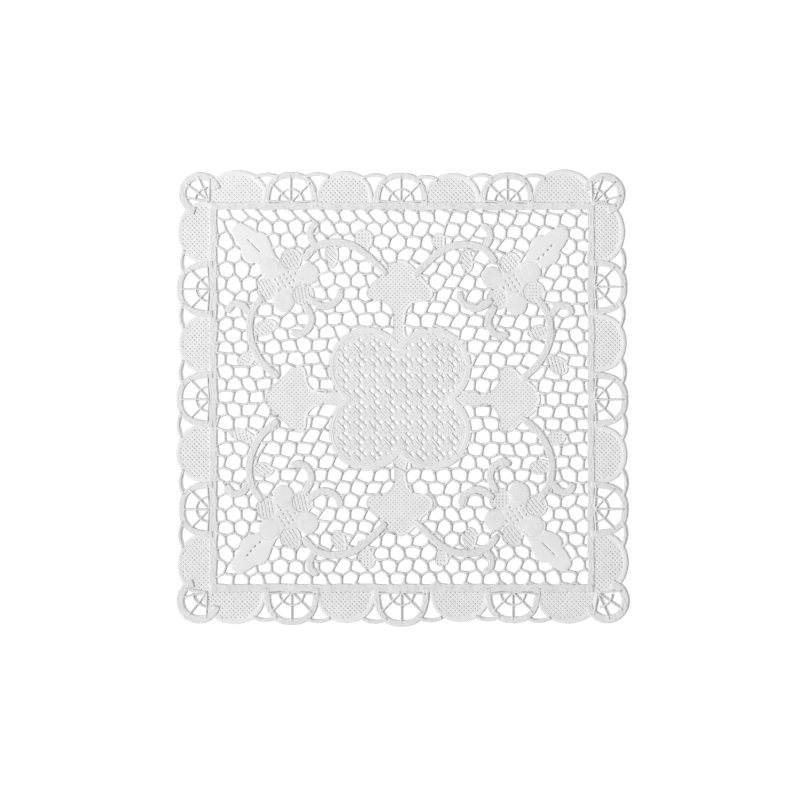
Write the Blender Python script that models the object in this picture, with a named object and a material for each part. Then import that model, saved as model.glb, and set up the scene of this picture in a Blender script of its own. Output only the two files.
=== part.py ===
# Lace doily, one flat piece of cotton lace, laid on its underside.
# Lengths in the tables are millimetres; MM turns them into Blender's metres.
# X runs to the right and Y to the top of the pattern, and the underside lies at Z = 0.
import math
from math import cos, pi, sin

import bpy
from mathutils import Vector

MM = 0.001
THICKNESS = 1.4
COTTON = (0.86, 0.86, 0.845, 1.0)
COTTON_ROUGHNESS = 0.92
MOST_GAPS = 298
LEAST_GAP = 4.0            # a gap that holds no circle of this diameter stays cloth
STRAIGHT_ENOUGH = 0.3      # corners that stick out less than this are dropped
VIEW_ANGLES = 20           # a cut net gap is measured in this many directions, and at its corners
MOST_STEPS = 24            # steps taken along each of them before it is cut off

# Net: hexagons with upright side bars, inside the frame band.
# The real net's pitch is 10.5 by 9.1; the solid's is coarser, with bars to suit.
COARSER = 1.53
NET_PITCH = 10.5 * COARSER
NET_ROW = 9.1 * COARSER
NET_BAR = 1.35 * COARSER
NET_UNEVEN = 0.055         # of the pitch
NET_ROWS = range(-10, 11)
NET_COLUMNS = range(-9, 10)
NET_LEFT, NET_RIGHT = -123.5, 123.5
NET_BOTTOM, NET_TOP = -124.0, 126.5

# Border: scallops filled with cloth and half wheels, in turn, 36 mm apart.
SIDE_PITCH = 36.0
CLOTH_PLACES = (-3, -1, 1, 3)
WHEEL_PLACES = (-2, 0, 2)
DIP = 147.2                # from the middle to the dips of the wavy edge
CLOTH_TOP = 151.3
WHEEL_TOP = 150.0
PICOT_TOP = 149.5
LOBE_HALF = 10.3           # half the width of a scallop's or half wheel's wave
WAVE_FULLNESS = 0.8        # 1 is a plain sine wave, less is rounder
STEPS_PER_WAVE = 4
NOTCH = (121.8, 145.0)     # along the side, and outward: between scallop and corner wheel
CORNER_WHEEL = (134.8, 135.0)
CORNER_RADIUS = 15.5
CORNER_STEPS = 14
# side: the turn that takes the top side there, its shift along itself, and outward
SIDES = (
    ("top", 0, -1.2, -0.5),
    ("left", 90, -0.5, 0.0),
    ("bottom", 180, -1.0, 0.8),
    ("right", 270, -0.6, 0.0),
)

# Half wheel: hub on the frame band, a thin arc, a ring, spokes every 45 degrees.
HUB_OUT = 128.6
WHEEL_ARC = (8.6, 11.3)    # half width and height of the arc's outer edge
WHEEL_RING = (13.0, 17.2)  # the same of the ring's inner edge
WHEEL_SPOKES = (3, 46, 90, 134, 177)   # degrees
SPOKE = 1.4
ARC_STEPS = 2
# Triangle gap beside each half wheel, under a small picot arc.
PICOT_GAP_TOP = 146.6
PICOT_GAP_DEPTH = 9.0
PICOT_GAP_WIDTH = 9.4
PICOT_GAP_LEAN = 1.0       # its foot is this much nearer to the half wheel
PICOT_GAP_CROWN = 1.0      # its top is this much higher in the middle
# Corner wheel: spokes fan out from a hub at its inner corner, and an arc crosses them.
CORNER_HUB = (127.6, 128.0)
CORNER_ARC = 10.4
CORNER_RING_INSIDE = 10.8
CORNER_SPOKES = (2, 31, 59, 88)   # degrees from the direction along the side

# Motifs, about the medallion's middle.
MIDDLE = Vector((-1.7, -0.7))
MEDALLION_LOBE_AT = 23.4
MEDALLION_LOBE = 24.3
MEDALLION_CORE = 36.0      # fills the notches between the lobes
# Half of a tulip fan: distance from the tulip's tip toward the middle, and from its axis
TULIP_HALF = (
    (0.0, 0.0),
    (1.0, 5.0),
    (4.2, 9.4),
    (8.6, 11.9),
    (12.6, 14.6),
    (16.6, 19.0),
    (20.0, 22.0),
    (24.0, 22.0),
    (27.2, 18.0),
    (28.6, 11.6),
    (31.8, 6.0),
    (37.5, 4.2),
)
# tulip: the turn of its axis from +X, and the distance of its tip from the middle
TULIPS = (
    ("right", 0, 94.0),
    ("top", 90, 92.8),
    ("left", 180, 90.0),
    ("bottom", 270, 91.6),
)
# Foot of a tulip's stem in a notch of the medallion: distance from the middle, and from its axis
TULIP_FOOT = (
    (46.0, 4.2), (42.0, 5.0), (39.0, 7.5), (34.0, 7.5),
    (34.0, -7.5), (39.0, -7.5), (42.0, -5.0), (46.0, -4.2),
)
FLOWER_DISC = 9.4
# petal: its direction outward in degrees, distance from the flower's middle, and radius
PETALS = (
    (31, 13.6, 7.4),
    (100, 13.2, 7.5),
    (167, 14.6, 7.3),
    (226, 15.0, 7.6),
    (279, 15.2, 7.3),
    (335, 15.2, 7.6),
)
# Half of a leaf: distance outward from the flower's middle, and from the leaf's axis
LEAF_HALF = (
    (50.6, 0.0),
    (49.2, 3.0),
    (45.2, 5.0),
    (40.2, 7.0),
    (36.6, 7.5),
    (34.4, 10.0),
    (30.4, 11.0),
    (25.4, 9.6),
    (20.4, 7.2),
    (15.0, 5.4),
    (11.0, 5.0),
)
SCROLL_HALF = 2.4
SCROLL_STEPS = 3
# Scrolls of one quadrant, as points (outward along X, outward along Y)
SCROLLS = {
    "stem to the tulip above": (
        (64.6, 91.6), (56.6, 100.4), (46.0, 103.6), (34.0, 102.2), (24.0, 96.4), (13.6, 86.6),
    ),
    "stem to the tulip beside": (
        (92.0, 68.0), (98.6, 57.6), (100.6, 46.7), (98.8, 36.0), (92.4, 24.0), (81.0, 13.4),
    ),
    "curl above": ((56.4, 101.2), (60.0, 107.3), (59.2, 113.4), (54.4, 116.8)),
    "curl beside": ((100.4, 55.0), (105.0, 61.6), (111.6, 62.6), (115.4, 57.0)),
    "tendril above": ((62.0, 67.0), (52.6, 61.2), (44.8, 62.8), (40.6, 67.4), (40.2, 72.4)),
    "tendril beside": ((64.0, 63.0), (59.2, 53.2), (61.6, 46.0), (67.0, 42.8), (73.2, 44.2)),
}
SCROLL_FLOWER = (75.7, 78.9)    # where the flower lies for these points
SCROLL_SHARE = 0.6              # how much of a flower's own shift its scrolls follow
# Half of a bud that is widest halfway: share of the way from foot to tip, and of its half width
BUD_HALF = ((-0.06, 0.44), (0.15, 0.66), (0.33, 0.9), (0.5, 1.0), (0.73, 0.88), (0.9, 0.56), (1.0, 0.0))
# bud: its foot, its tip, half its width, and where it is widest
BUDS = (
    ((-26.0, 97.3), (-26.3, 113.0), 6.6, 0.6),
    ((-47.3, 103.3), (-47.0, 86.0), 5.0, 0.4),
    ((-101.3, 43.3), (-83.3, 50.0), 5.5, 0.5),
    ((-97.3, 30.6), (-110.0, 22.0), 5.5, 0.52),
    ((26.0, 96.0), (22.7, 110.0), 5.0, 0.7),
    ((42.7, 98.0), (43.3, 82.6), 4.8, 0.45),
    ((99.3, 44.0), (82.7, 43.3), 5.2, 0.5),
    ((97.3, 26.6), (110.0, 16.6), 6.0, 0.5),
    ((-27.3, -96.7), (-21.3, -114.0), 5.7, 0.66),
    ((-39.3, -102.7), (-45.3, -88.0), 5.4, 0.5),
    ((-102.0, -47.4), (-85.3, -48.7), 5.2, 0.5),
    ((-96.7, -28.7), (-116.0, -22.0), 4.6, 0.5),
    ((27.3, -100.7), (25.3, -112.7), 5.0, 0.6),
    ((45.3, -100.7), (44.7, -86.0), 5.3, 0.5),
    ((100.0, -45.4), (84.0, -46.7), 5.3, 0.5),
    ((96.0, -28.7), (109.3, -24.0), 5.6, 0.5),
)
# quadrant: the signs of X and Y there, its flower's middle, and how far its net leans
QUADRANTS = (
    ("top left", -1, 1, (-76.5, 79.4), -0.04),
    ("top right", 1, 1, (73.9, 77.0), 0.10),
    ("bottom left", -1, -1, (-76.9, -80.2), 0.10),
    ("bottom right", 1, -1, (75.7, -78.4), 0.0),
)


def remove_old_objects():
    for old in list(bpy.data.objects):
        bpy.data.objects.remove(old, do_unlink=True)


def turned(point, degrees):
    angle = math.radians(degrees)
    return Vector((point.x * cos(angle) - point.y * sin(angle), point.x * sin(angle) + point.y * cos(angle)))


def smooth_path(points, steps):
    """Catmull-Rom curve through the points."""
    path = []
    for index in range(len(points) - 1):
        before = points[max(index - 1, 0)]
        start = points[index]
        end = points[index + 1]
        after = points[min(index + 2, len(points) - 1)]
        for step in range(steps):
            t = step / steps
            path.append(0.5 * (2 * start + (end - before) * t
                               + (2 * before - 5 * start + 4 * end - after) * t * t
                               + (3 * start - before - 3 * end + after) * t ** 3))
    path.append(points[-1])
    return path


# Each motif shape is (middle, reach, function that gives the distance to its edge).

def disc(middle, radius):
    return middle, radius, lambda point: (point - middle).length - radius


def strip(start, end, half_width):
    along = end - start

    def distance(point):
        share = (point - start).dot(along) / along.length_squared
        return (point - start - along * min(max(share, 0.0), 1.0)).length - half_width
    return (start + end) / 2, along.length / 2 + half_width, distance


def plate(corners):
    middle = sum(corners, Vector((0, 0))) / len(corners)
    reach = max((corner - middle).length for corner in corners)

    def distance(point):
        nearest = math.inf
        inside = False
        for index, start in enumerate(corners):
            end = corners[index - 1]
            nearest = min(nearest, strip(start, end, 0)[2](point))
            if (start.y > point.y) != (end.y > point.y):
                crossing = start.x + (point.y - start.y) * (end.x - start.x) / (end.y - start.y)
                inside ^= point.x < crossing
        return -nearest if inside else nearest
    return middle, reach, distance


def medallion():
    diagonals = [(45 + 90 * corner) for corner in range(4)]
    lobes = [MIDDLE + turned(Vector((MEDALLION_LOBE_AT * math.sqrt(2), 0)), angle) for angle in diagonals]
    return [disc(lobe, MEDALLION_LOBE) for lobe in lobes] + [disc(MIDDLE, MEDALLION_CORE)]


def tulips():
    shapes = []
    for _, turn, tip in TULIPS:
        left = [Vector((tip - down, aside)) for down, aside in TULIP_HALF]
        right = [Vector((point.x, -point.y)) for point in reversed(left[1:])]
        outline = [MIDDLE + turned(point, turn) for point in left + right]
        foot = [MIDDLE + turned(Vector(point), turn) for point in TULIP_FOOT]
        stem_start = MIDDLE + turned(Vector((tip - TULIP_HALF[-1][0], 0)), turn)
        stem_end = MIDDLE + turned(Vector((TULIP_FOOT[0][0], 0)), turn)
        shapes += [plate(outline), strip(stem_start, stem_end, TULIP_HALF[-1][1]), plate(foot)]
    return shapes


def quadrant_motifs(sign_x, sign_y, flower):
    def outward(x, y):
        return Vector((sign_x * x, sign_y * y))

    flower = Vector(flower)
    shapes = [disc(flower, FLOWER_DISC)]
    for direction, away, radius in PETALS:
        angle = math.radians(direction)
        shapes.append(disc(flower + outward(away * cos(angle), away * sin(angle)), radius))
    along = outward(1, 1).normalized()
    sideways = outward(-1, 1).normalized()
    left = [flower + along * out + sideways * aside for out, aside in LEAF_HALF]
    right = [flower + along * out - sideways * aside for out, aside in reversed(LEAF_HALF[1:])]
    shapes.append(plate(left + right))
    shift = (flower - MIDDLE - outward(*SCROLL_FLOWER)) * SCROLL_SHARE
    for points in SCROLLS.values():
        path = smooth_path([MIDDLE + outward(*point) + shift for point in points], SCROLL_STEPS)
        shapes += [strip(start, end, SCROLL_HALF) for start, end in zip(path, path[1:])]
    return shapes


def bud(foot, tip, half_width, widest):
    foot, tip = Vector(foot), Vector(tip)
    run = tip - foot
    left = Vector((-run.y, run.x)).normalized() * half_width
    half = []
    for share, width in BUD_HALF:
        along = share * 2 * widest if share < 0.5 else 1 - (1 - share) * 2 * (1 - widest)
        half.append((along, width))
    corners = [foot + run * along + left * width for along, width in half]
    return plate(corners + [foot + run * along - left * width for along, width in reversed(half[:-1])])


def all_motifs():
    shapes = medallion() + tulips()
    for _, sign_x, sign_y, flower, _ in QUADRANTS:
        shapes += quadrant_motifs(sign_x, sign_y, flower)
    shapes += [bud(*values) for values in BUDS]
    return shapes


def lean_at(point):
    """The net's lean, blended between the quadrants near the middle lines."""
    total = 0.0
    for _, sign_x, sign_y, _, lean in QUADRANTS:
        share_x = 0.5 + 0.5 * max(-1.0, min(1.0, sign_x * point.x / NET_PITCH))
        share_y = 0.5 + 0.5 * max(-1.0, min(1.0, sign_y * point.y / NET_PITCH))
        total += lean * share_x * share_y
    return total


def knot(column, row, up):
    """Where three bars meet: the top (up = 1) or foot (up = -1) of a net cell."""
    x = (column + 0.5 * (row % 2)) * NET_PITCH
    y = row * NET_ROW + up * NET_ROW * 2 / 3
    wobble_x = sin(1.7 * column + 2.3 * row + 0.9 * up) + 0.6 * sin(0.31 * row * row + column)
    wobble_y = sin(2.9 * column - 1.3 * row + 1.9 * up)
    lean = -up * lean_at(Vector((x, y))) * NET_PITCH
    return Vector((x + NET_UNEVEN * NET_PITCH * wobble_x + lean, y + NET_UNEVEN * NET_PITCH * wobble_y))


def cell_corners(column, row):
    """The six knots around a net cell, counterclockwise."""
    right = column + row % 2
    return [
        knot(column, row, 1),
        knot(right - 1, row + 1, -1),
        knot(right - 1, row - 1, 1),
        knot(column, row, -1),
        knot(right, row - 1, 1),
        knot(right, row + 1, -1),
    ]


def cut_polygon(polygon, edge_point, inward):
    """The part of a convex polygon on the inward side of a line."""
    kept = []
    for index, corner in enumerate(polygon):
        following = polygon[(index + 1) % len(polygon)]
        depth = (corner - edge_point).dot(inward)
        next_depth = (following - edge_point).dot(inward)
        if depth >= 0:
            kept.append(corner)
        if (depth >= 0) != (next_depth >= 0):
            kept.append(corner.lerp(following, depth / (depth - next_depth)))
    return kept


def edge_planes(corners, inset):
    planes = []
    for index, start in enumerate(corners):
        along = (corners[(index + 1) % len(corners)] - start).normalized()
        inward = Vector((-along.y, along.x))
        planes.append((start + inward * inset, inward))
    return planes


def net_square():
    return [Vector((NET_LEFT, NET_BOTTOM)), Vector((NET_RIGHT, NET_BOTTOM)),
            Vector((NET_RIGHT, NET_TOP)), Vector((NET_LEFT, NET_TOP))]


def room_at(point, planes, shapes):
    """How far a point lies from the bars and motifs around it."""
    bars = min((point - edge_point).dot(inward) for edge_point, inward in planes)
    return min([bars] + [distance(point) for _, _, distance in shapes])


def without_flat_corners(corners):
    """Drops each corner that hardly sticks out of the line between its neighbours."""
    corners = list(corners)
    index = 0
    while index < len(corners) and len(corners) > 3:
        before = corners[index - 1]
        chord = corners[(index + 1) % len(corners)] - before
        offset = abs(chord.x * (corners[index].y - before.y) - chord.y * (corners[index].x - before.x))
        if offset < STRAIGHT_ENOUGH * max(chord.length, STRAIGHT_ENOUGH):
            del corners[index]
        else:
            index += 1
    return corners


def trimmed_gap(polygon, planes, shapes):
    """The part of a net cell that the motifs leave open, seen from its roomiest point."""
    middle = sum(polygon, Vector((0, 0))) / len(polygon)
    tries = [middle.lerp(corner, share) for corner in polygon for share in (0, 0.3, 0.6)]
    heart = max(tries, key=lambda point: room_at(point, planes, shapes))
    room = room_at(heart, planes, shapes)
    if room * 2 < LEAST_GAP:
        return room, []
    corner_angles = [math.atan2(corner.y - heart.y, corner.x - heart.x) for corner in polygon]
    even_angles = [2 * pi * step / VIEW_ANGLES - pi for step in range(VIEW_ANGLES)]
    outline = []
    for angle in sorted(corner_angles + even_angles):
        ray = Vector((cos(angle), sin(angle)))
        reach = min(((edge_point - heart).dot(inward) / ray.dot(inward)
                     for edge_point, inward in planes if ray.dot(inward) < -1e-6))
        walked = 0.0
        for _ in range(MOST_STEPS):
            step = min(distance(heart + ray * walked) for _, _, distance in shapes)
            walked += step
            if step < 0.02 or walked > reach:
                break
        outline.append(heart + ray * min(walked, reach))
    return room, without_flat_corners(outline)


def net_gaps():
    """Net gaps as (room, outline), cut short where a motif or the frame crosses a cell."""
    motifs = all_motifs()
    frame_planes = edge_planes(net_square(), 0)
    gaps = []
    for row in NET_ROWS:
        for column in NET_COLUMNS:
            corners = cell_corners(column, row)
            planes = edge_planes(corners, NET_BAR / 2) + frame_planes
            polygon = corners
            for edge_point, inward in planes:
                polygon = cut_polygon(polygon, edge_point, inward)
            if len(polygon) < 3:
                continue
            middle = sum(polygon, Vector((0, 0))) / len(polygon)
            near = [shape for shape in motifs if (shape[0] - middle).length < shape[1] + NET_PITCH]
            crossing = [shape for shape in near
                        if min(shape[2](corner) for corner in polygon + [middle]) < NET_PITCH / 4]
            if crossing:
                room, outline = trimmed_gap(polygon, planes, crossing)
            else:
                room, outline = room_at(middle, planes, []), without_flat_corners(polygon)
            if room * 2 >= LEAST_GAP:
                gaps.append((room, outline))
    return gaps


def side_edge(shift):
    """The wavy outer edge of the top side, from its left notch to its right one."""
    ends = [(-NOTCH[0], NOTCH[1])]
    tops = []
    for place in range(-3, 4):
        middle = place * SIDE_PITCH + shift
        tops.append((middle, CLOTH_TOP if place in CLOTH_PLACES else WHEEL_TOP))
        if place < 3:
            ends += [(middle + LOBE_HALF, DIP), (middle + SIDE_PITCH - LOBE_HALF, DIP)]
            tops.append((middle + SIDE_PITCH / 2, PICOT_TOP))
    ends.append(NOTCH)
    edge = []
    for (start, start_out), (end, end_out), (middle, top) in zip(ends, ends[1:], tops):
        for step in range(STEPS_PER_WAVE):
            share = step / STEPS_PER_WAVE
            x = start + (end - start) * share
            foot = start_out if x < middle else end_out
            edge.append(Vector((x, foot + (top - foot) * sin(pi * share) ** WAVE_FULLNESS)))
    edge.append(Vector(NOTCH))
    return edge


def corner_edge():
    """The outer arc of the wheel in the top left corner, from the left side to the top."""
    hub = Vector((-CORNER_WHEEL[0], CORNER_WHEEL[1]))
    start = Vector((-NOTCH[1], NOTCH[0])) - hub
    end = Vector((-NOTCH[0], NOTCH[1])) - hub
    first = math.atan2(start.y, start.x) % (2 * pi)
    last = math.atan2(end.y, end.x)
    return [hub + CORNER_RADIUS * Vector((cos(first + (last - first) * step / CORNER_STEPS),
                                          sin(first + (last - first) * step / CORNER_STEPS)))
            for step in range(1, CORNER_STEPS)]


def outer_edge():
    edge = []
    for _, turn, shift, outward in reversed(SIDES):
        side = [point + Vector((0, outward)) for point in side_edge(shift)]
        edge += [turned(point, turn) for point in corner_edge() + side]
    return edge


def ring_sector(hub, inner, outer, first, last):
    """Gap between two ellipses about a hub and two spokes, at the given angles in degrees."""
    def side(half_width, height, backward):
        margin = math.degrees(SPOKE / (half_width + height))
        start, end = first + margin, last - margin
        angles = [math.radians(start + (end - start) * step / ARC_STEPS) for step in range(ARC_STEPS + 1)]
        points = [hub + Vector((half_width * cos(angle), height * sin(angle))) for angle in angles]
        return points[::-1] if backward else points
    return side(*outer, False) + side(*inner, True)


def picot_gap(middle, hand, outward):
    top = PICOT_GAP_TOP + outward
    return [
        Vector((middle - PICOT_GAP_WIDTH / 2, top - PICOT_GAP_CROWN)),
        Vector((middle - PICOT_GAP_LEAN * hand, top - PICOT_GAP_DEPTH)),
        Vector((middle + PICOT_GAP_WIDTH / 2, top - PICOT_GAP_CROWN)),
        Vector((middle, top)),
    ]


def border_gaps():
    gaps = []
    for _, turn, shift, outward in SIDES:
        shapes = []
        for place in WHEEL_PLACES:
            hub = Vector((place * SIDE_PITCH + shift, HUB_OUT + outward))
            for first, last in zip(WHEEL_SPOKES, WHEEL_SPOKES[1:]):
                shapes.append(ring_sector(hub, WHEEL_ARC, WHEEL_RING, first, last))
            for hand in (-1, 1):
                shapes.append(picot_gap(hub.x + hand * SIDE_PITCH / 2, hand, outward))
        shapes += corner_gaps()
        gaps += [[turned(point, turn) for point in shape] for shape in shapes]
    return gaps


def corner_gaps():
    """The wider openings of the wheel in the top left corner, beyond its crossing arc."""
    wheel = Vector((-CORNER_WHEEL[0], CORNER_WHEEL[1]))
    hub = Vector((-CORNER_HUB[0], CORNER_HUB[1]))
    gaps = []
    for first, last in zip(CORNER_SPOKES, CORNER_SPOKES[1:]):
        near_arc = []
        near_ring = []
        for angle, aside in ((first, -SPOKE / 2), ((first + last) / 2, 0.0), (last, SPOKE / 2)):
            ray = turned(Vector((-1, 0)), -angle)
            start = hub + turned(ray, 90) * aside
            offset = start - wheel
            nearest = offset.dot(ray)
            along = math.sqrt(nearest ** 2 - offset.length_squared + CORNER_RING_INSIDE ** 2) - nearest
            near_arc.append(start + ray * CORNER_ARC)
            near_ring.append(start + ray * along)
        gaps.append(near_arc + near_ring[::-1])
    return gaps


def cotton():
    material = bpy.data.materials.new("cotton_lace")
    material.use_nodes = True
    shader = material.node_tree.nodes["Principled BSDF"]
    shader.inputs["Base Color"].default_value = COTTON
    shader.inputs["Roughness"].default_value = COTTON_ROUGHNESS
    shader.inputs["Metallic"].default_value = 0.0
    return material


def add_outline(curve, corners):
    spline = curve.splines.new("POLY")
    spline.points.add(len(corners) - 1)
    for point, corner in zip(spline.points, corners):
        point.co = (corner.x * MM, corner.y * MM, 0, 1)
    spline.use_cyclic_u = True


def build_doily(collection):
    """One flat plate: the scalloped outline with the gaps cut through."""
    gaps = border_gaps()
    widest_first = sorted(net_gaps(), key=lambda gap: -gap[0])
    gaps += [outline for _, outline in widest_first[:MOST_GAPS - len(gaps)]]
    curve = bpy.data.curves.new("doily", "CURVE")
    curve.dimensions = "2D"
    curve.fill_mode = "BOTH"
    curve.extrude = THICKNESS / 2 * MM
    add_outline(curve, outer_edge())
    for gap in gaps:
        add_outline(curve, gap)
    doily = bpy.data.objects.new("doily", curve)
    outward = {name: out for name, _, _, out in SIDES}
    doily.location.y = (outward["bottom"] - outward["top"]) / 2 * MM
    doily.location.z = THICKNESS / 2 * MM
    doily.data.materials.append(cotton())
    collection.objects.link(doily)
    print("gaps cut:", len(gaps), "of", len(widest_first) + len(border_gaps()))


def build():
    remove_old_objects()
    collection = bpy.data.collections.new("lace_doily")
    bpy.context.scene.collection.children.link(collection)
    build_doily(collection)


build()
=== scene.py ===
import math
from functools import partial

import bpy
import numpy as np
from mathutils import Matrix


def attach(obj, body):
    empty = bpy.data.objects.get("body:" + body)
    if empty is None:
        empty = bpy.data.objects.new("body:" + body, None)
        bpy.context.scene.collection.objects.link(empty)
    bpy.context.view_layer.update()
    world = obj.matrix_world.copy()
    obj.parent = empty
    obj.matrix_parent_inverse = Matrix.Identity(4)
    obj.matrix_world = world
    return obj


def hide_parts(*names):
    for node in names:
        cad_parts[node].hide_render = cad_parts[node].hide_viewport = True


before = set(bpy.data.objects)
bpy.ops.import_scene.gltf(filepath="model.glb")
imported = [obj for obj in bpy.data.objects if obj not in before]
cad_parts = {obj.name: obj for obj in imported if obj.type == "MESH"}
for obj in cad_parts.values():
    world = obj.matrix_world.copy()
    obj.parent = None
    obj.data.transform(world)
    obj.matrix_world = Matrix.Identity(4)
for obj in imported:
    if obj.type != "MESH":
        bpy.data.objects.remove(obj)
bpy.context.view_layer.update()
bpy.ops.object.select_all(action="DESELECT")

mm = 0.001              # every length below is in millimetres, and becomes metres where a mesh is made

doily = {
    "middle": np.array((-1.7, 0.0)),    # of the medallion, about the middle of the whole doily
    "under": 0.06,              # of the underside above the table
    "unevenness": 0.12,         # how far the pressed cloth lifts from the table in places
    "corner": 0.6,              # how much more it does so toward the upper left
    "waveLength": 74.0,
}

# the four sides of the border: the turn from the top side, the inner and outer edge of the frame band,
# and along the side each arch's middle and reach, and each small arc's reach
sides = (
    {"turn": 0, "band": (126.1, 130.9),
     "arches": ((-110.0, 152.6), (-74.5, 151.2), (-38.4, 152.0), (-1.0, 150.8), (33.2, 150.6),
                (69.8, 150.8), (107.4, 153.0)),
     "arcs": (150.8, 151.1, 150.4, 149.3, 150.4, 150.2)},
    {"turn": 90, "band": (123.3, 128.6),
     "arches": ((-110.4, 150.2), (-73.6, 149.0), (-36.0, 151.1), (-0.2, 150.6), (36.4, 149.4),
                (73.2, 150.4), (111.0, 150.2)),
     "arcs": (149.6, 149.3, 150.6, 149.3, 149.2, 148.6)},
    {"turn": 180, "band": (123.4, 128.7),
     "arches": ((-110.4, 149.8), (-73.6, 149.4), (-38.6, 148.8), (0.6, 151.8), (37.4, 149.4),
                (73.8, 150.6), (112.0, 150.2)),
     "arcs": (149.2, 148.2, 148.8, 149.8, 149.4, 148.6)},
    {"turn": 270, "band": (123.4, 128.2),
     "arches": ((-111.2, 148.4), (-74.6, 149.6), (-37.4, 149.4), (0.4, 150.2), (37.2, 150.0),
                (73.4, 150.4), (109.0, 150.8)),
     "arcs": (149.0, 148.4, 149.2, 150.0, 150.4, 150.0)},
)

# the wheel at each corner, and the middle and directions of its spokes, all in the outward frame
corners = (
    {"outward": (-1, 1), "wheel": (134.7, 136.8), "radius": 14.5, "hub": (128.7, 131.3),
     "spokes": (10, 38, 66, 92)},
    {"outward": (1, 1), "wheel": (134.1, 136.5), "radius": 14.3, "hub": (126.7, 130.0),
     "spokes": (-4, 16, 44, 69, 92)},
    {"outward": (-1, -1), "wheel": (135.6, 134.6), "radius": 15.1, "hub": (130.0, 128.7),
     "spokes": (-8, 12, 51, 88)},
    {"outward": (1, -1), "wheel": (136.4, 134.6), "radius": 14.9, "hub": (130.4, 129.3),
     "spokes": (-6, 34, 66, 100)},
)

# the four quadrants: which way is outward, the middle of the flower, how its three open petals
# are worked and which way each pattern runs, whether the leaf has slits or small eyes, and each bud:
# its foot and tip, half its width, where it is widest, how it is worked and which way that runs
quadrants = (
    {"name": "topLeft", "outward": (-1, 1), "flower": (-76.5, 80.1),
     "petals": ("slits", "slits", "slits"), "runs": (-58, -80, -60), "leaf": "slits",
     "buds": (((-26.0, 98.0), (-26.3, 113.7), 6.6, 0.6, "dots", 0),
              ((-47.3, 104.0), (-47.0, 86.7), 5.0, 0.4, "slits", -45),
              ((-101.3, 44.0), (-83.3, 50.7), 5.5, 0.5, "slits", -45),
              ((-97.3, 31.3), (-110.0, 22.7), 5.5, 0.52, "dots", -30))},
    {"name": "topRight", "outward": (1, 1), "flower": (73.9, 77.7),
     "petals": ("eyes", "dots", "dots"), "runs": (-52, -58, 0), "leaf": "eyes",
     "buds": (((26.0, 96.7), (22.7, 110.7), 5.0, 0.7, "dots", 0),
              ((42.7, 98.7), (43.3, 83.3), 4.8, 0.45, "slits", -45),
              ((99.3, 44.7), (82.7, 44.0), 5.2, 0.5, "slits", -62),
              ((97.3, 27.3), (110.0, 17.3), 6.0, 0.5, "slits", -75))},
    {"name": "bottomLeft", "outward": (-1, -1), "flower": (-76.9, -79.5),
     "petals": ("slits", "slits", "slits"), "runs": (-58, -76, -80), "leaf": "eyes",
     "buds": (((-27.3, -96.0), (-21.3, -113.3), 5.7, 0.66, "dots", 0),
              ((-39.3, -102.0), (-45.3, -87.3), 5.4, 0.5, "slits", -45),
              ((-102.0, -46.7), (-85.3, -48.0), 5.2, 0.5, "slits", -40),
              ((-96.7, -28.0), (-116.0, -21.3), 4.6, 0.5, "dots", -75))},
    {"name": "bottomRight", "outward": (1, -1), "flower": (75.7, -77.7),
     "petals": ("slits", "dots", "slits"), "runs": (-52, 0, -50), "leaf": "slits",
     "buds": (((27.3, -100.0), (25.3, -112.0), 5.0, 0.6, "dots", 0),
              ((45.3, -100.0), (44.7, -85.3), 5.3, 0.5, "slits", -45),
              ((100.0, -44.7), (84.0, -46.0), 5.3, 0.5, "slits", -45),
              ((96.0, -28.0), (109.3, -23.3), 5.6, 0.5, "dots", 0))},
)

for motif in quadrants + corners:
    for key in ("outward", "flower", "wheel", "hub"):
        if key in motif:
            motif[key] = np.array(motif[key], dtype=float)


# shapes on the flat: each distance is negative inside a shape

def aimAt(degrees):
    return np.array([math.cos(math.radians(degrees)), math.sin(math.radians(degrees))])


def turned(points, degrees):
    cosine, sine = aimAt(degrees)
    return np.asarray(points, dtype=float) @ np.array([[cosine, sine], [-sine, cosine]])


def smoothPath(points, step, closed=False):
    # a curve through the points, with a new point at about every step
    points = np.asarray(points, dtype=float)
    if closed:
        loop = np.vstack([points[-1:], points, points[:2]])
    else:
        loop = np.vstack([2 * points[0] - points[1], points, 2 * points[-1] - points[-2]])
    share = np.linspace(0, 1, 12, endpoint=False)[:, None]
    pieces = []
    for before, start, end, after in zip(loop, loop[1:], loop[2:], loop[3:]):
        bend = 2 * before - 5 * start + 4 * end - after
        twist = 3 * start - before - 3 * end + after
        pieces.append(0.5 * (2 * start + (end - before) * share + bend * share ** 2 + twist * share ** 3))
    dense = np.vstack(pieces + [points[:1] if closed else points[-1:]])
    return evenPath(dense, step, closed)


def evenPath(dense, step, closed=False):
    walked = np.concatenate([[0], np.cumsum(np.linalg.norm(np.diff(dense, axis=0), axis=1))])
    marks = np.linspace(0, walked[-1], max(3, round(walked[-1] / step) + 1))
    even = np.column_stack([np.interp(marks, walked, dense[:, 0]), np.interp(marks, walked, dense[:, 1])])
    return even[:-1] if closed else even


def arcPath(middle, halfWidth, height, first, last, step, power=2.0, count=90):
    # part of an oval, with fuller shoulders where the power is over 2
    angles = np.radians(np.linspace(first, last, count))
    aside, upward = [np.sign(share) * np.abs(share) ** (2 / power)
                     for share in (np.cos(angles), np.sin(angles))]
    return evenPath(np.column_stack([middle[0] + halfWidth * aside, middle[1] + height * upward]), step)


def jitter(first, second, seed):
    # a steady, unordered value from -1 to 1 for each pair of whole numbers
    return 2 * np.mod(np.sin(first * 12.99 + second * 78.23 + seed) * 437.6, 1) - 1


def discDistance(x, y, middle, radius):
    return np.hypot(x - middle[0], y - middle[1]) - radius


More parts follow.
